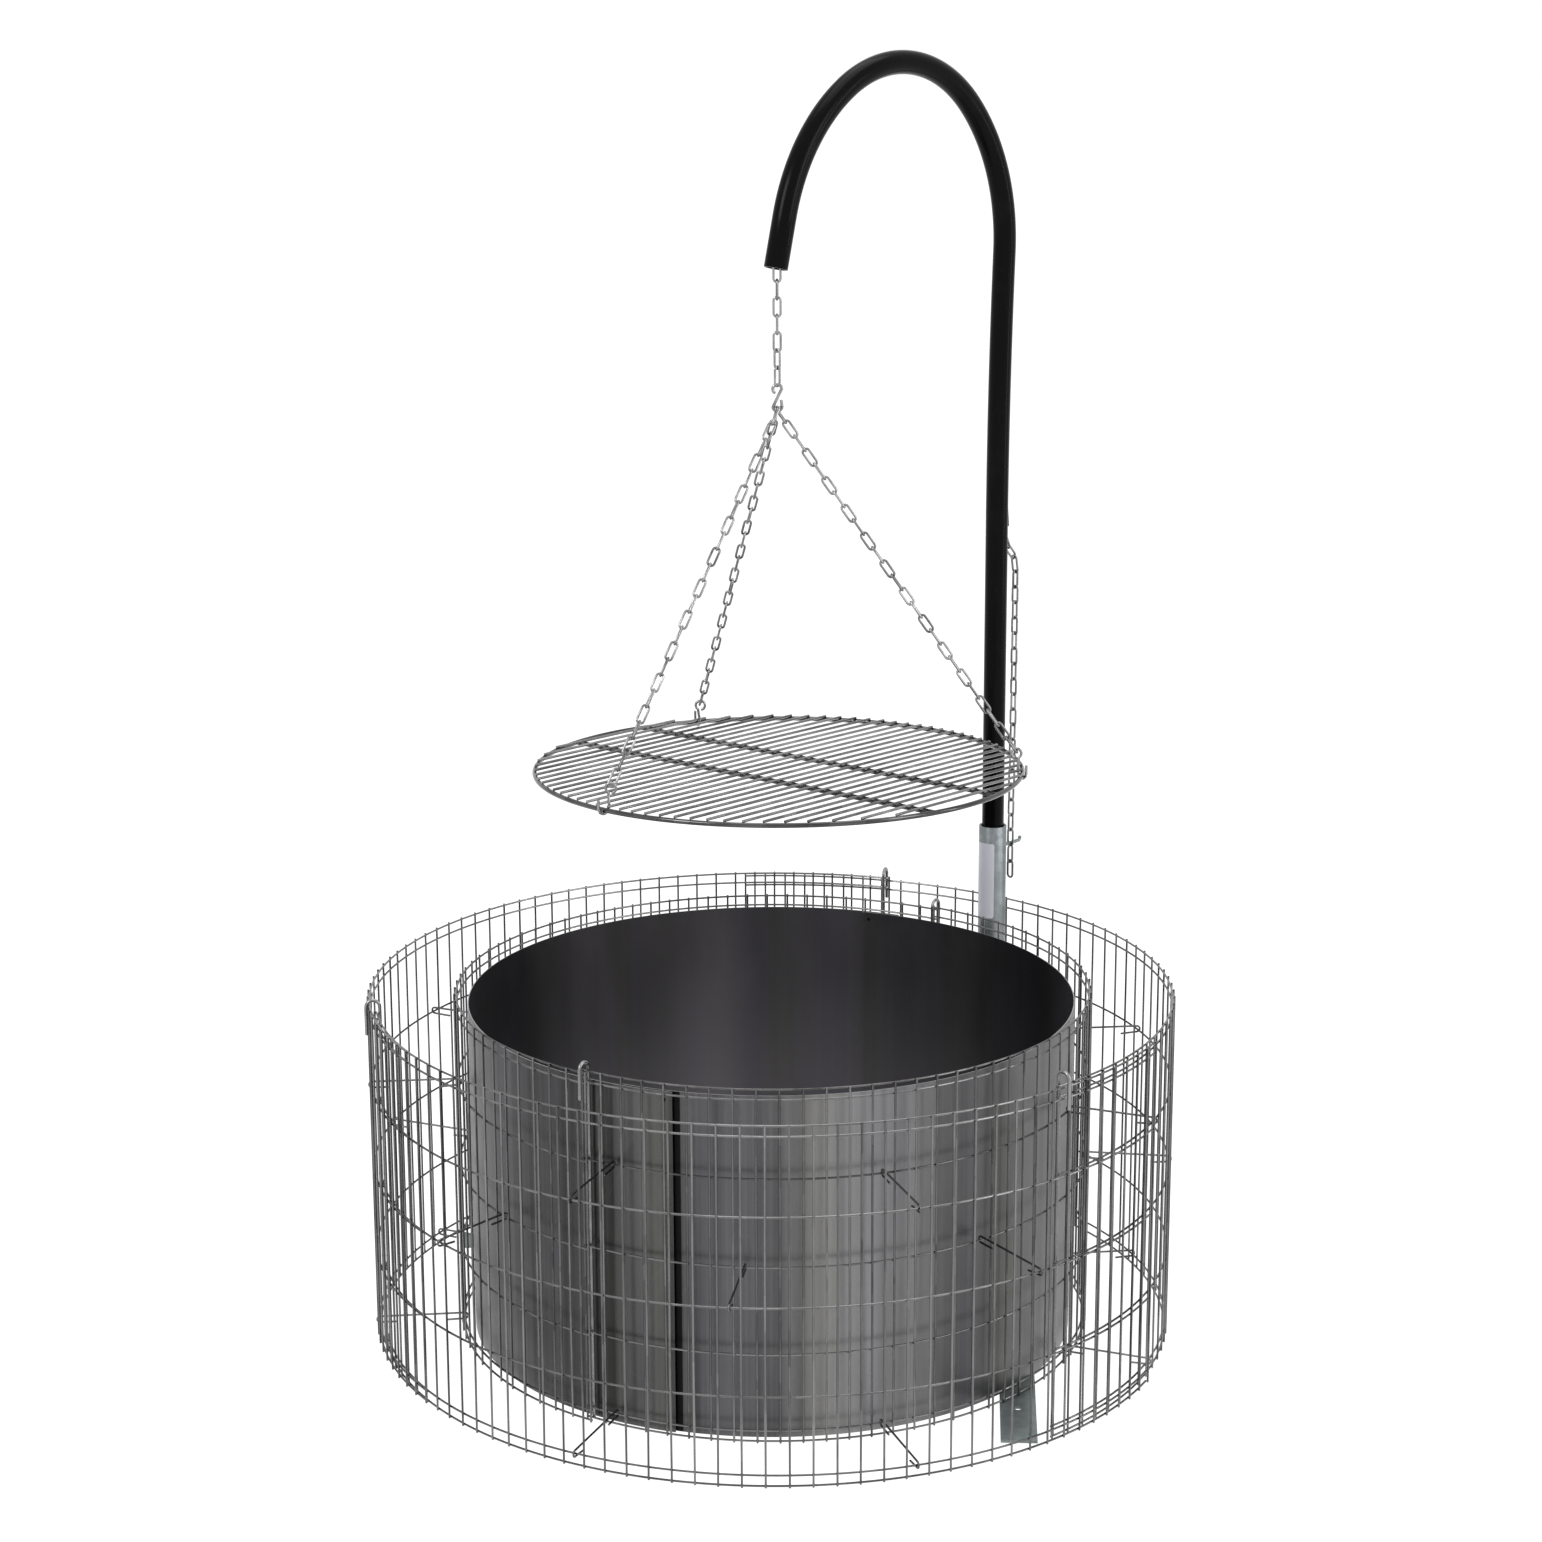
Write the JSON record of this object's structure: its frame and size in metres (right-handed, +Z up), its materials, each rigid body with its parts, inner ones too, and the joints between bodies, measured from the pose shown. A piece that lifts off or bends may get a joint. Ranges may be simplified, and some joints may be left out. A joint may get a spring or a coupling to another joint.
{
  "type": "fire pit",
  "caption": "Round gabion fire pit: double wire mesh wall with spacer wires, sheet steel liner, post with gooseneck arm, chain and hanging round grill grate.",
  "frame": {"origin": "on the ground, on the vertical axis of the mesh rings", "axes": "+Z up, -Y towards the viewer of the picture, the post stands at the back right (+X, +Y)"},
  "size_m": [0.9277, 0.9312, 1.4501],
  "materials": {
    "mesh_wire": "galvanised welded wire, satin grey",
    "closing_rod": "galvanised drawn rod, satin",
    "liner_sheet": "bare rolled sheet steel, dark, satin with vertical streaks",
    "flat_bar": "galvanised flat bar, dull and mottled",
    "post_tube": "hot dip galvanised tube, streaky",
    "black_pipe": "black enamel, glossy",
    "chain_zinc": "bright zinc plated",
    "grate_steel": "bright steel wire, polished"
  },
  "bodies": {
    "base": {"outer_mesh_panel_1": "mesh_wire", "outer_mesh_panel_2": "mesh_wire", "outer_mesh_panel_3": "mesh_wire", "inner_mesh_panel_1": "mesh_wire", "inner_mesh_panel_2": "mesh_wire", "outer_closing_rod_1": "closing_rod", "outer_closing_rod_2": "closing_rod", "outer_closing_rod_3": "closing_rod", "inner_closing_rod_1": "closing_rod", "inner_closing_rod_2": "closing_rod", "spacer_low_1": "mesh_wire", "spacer_low_2": "mesh_wire", "spacer_low_3": "mesh_wire", "spacer_low_4": "mesh_wire", "spacer_low_5": "mesh_wire", "spacer_low_6": "mesh_wire", "spacer_low_7": "mesh_wire", "spacer_low_8": "mesh_wire", "spacer_high_1": "mesh_wire", "spacer_high_2": "mesh_wire", "spacer_high_3": "mesh_wire", "spacer_high_4": "mesh_wire", "spacer_high_5": "mesh_wire", "spacer_high_6": "mesh_wire", "spacer_high_7": "mesh_wire", "spacer_high_8": "mesh_wire", "spacer_middle_1": "mesh_wire", "spacer_middle_2": "mesh_wire", "spacer_middle_3": "mesh_wire", "spacer_middle_4": "mesh_wire", "spacer_middle_5": "mesh_wire", "spacer_middle_6": "mesh_wire", "spacer_middle_7": "mesh_wire", "spacer_middle_8": "mesh_wire", "liner_right_sheet": "liner_sheet", "liner_left_sheet": "liner_sheet", "foot_bar_front": "flat_bar", "foot_bar_left": "flat_bar", "post": "post_tube", "hook_pin": "post_tube", "chain_tail": "chain_zinc"},
    "arm": {"gooseneck_pipe": "black_pipe", "chain_in_pipe": "chain_zinc", "chain_behind_post": "chain_zinc"},
    "chain_upper": {"front_chain_upper": "chain_zinc"},
    "chain_lower": {"front_chain_lower": "chain_zinc"},
    "hook": {"s_hook": "chain_zinc"},
    "grill": {"grate": "grate_steel", "grate_hook_1": "chain_zinc", "grate_hook_2": "chain_zinc", "grate_hook_3": "chain_zinc", "grate_chain_1": "chain_zinc", "grate_chain_2": "chain_zinc", "grate_chain_3": "chain_zinc"}
  },
  "joints": [
    {"name": "arm_swivel", "type": "hinge", "parent": "base", "child": "arm", "pos_m": [0.27135, 0.30402, 0.5], "axis": [0, 0, 1], "range_deg": [-120, 120]},
    {"name": "chain_swing", "type": "hinge", "parent": "arm", "child": "chain_upper", "pos_m": [0.00716, 0.02072, 1.24468], "axis": [0.7314, -0.682, 0], "range_deg": [-6, 6]},
    {"name": "grate_lift", "type": "slide", "parent": "chain_upper", "child": "chain_lower", "axis": [0, 0, 1], "range_m": [0, 0.057], "deforming": ["front_chain_upper"]},
    {"name": "hook_sway", "type": "hinge", "parent": "chain_lower", "child": "hook", "pos_m": [0.00716, 0.02072, 1.09568], "axis": [-0.682, -0.7314, 0], "range_deg": [-8, 8]},
    {"name": "grate_spin", "type": "hinge", "parent": "hook", "child": "grill", "pos_m": [0.00716, 0.02072, 1.06368], "axis": [0, 0, 1], "range_deg": [-180, 180]}
  ]
}
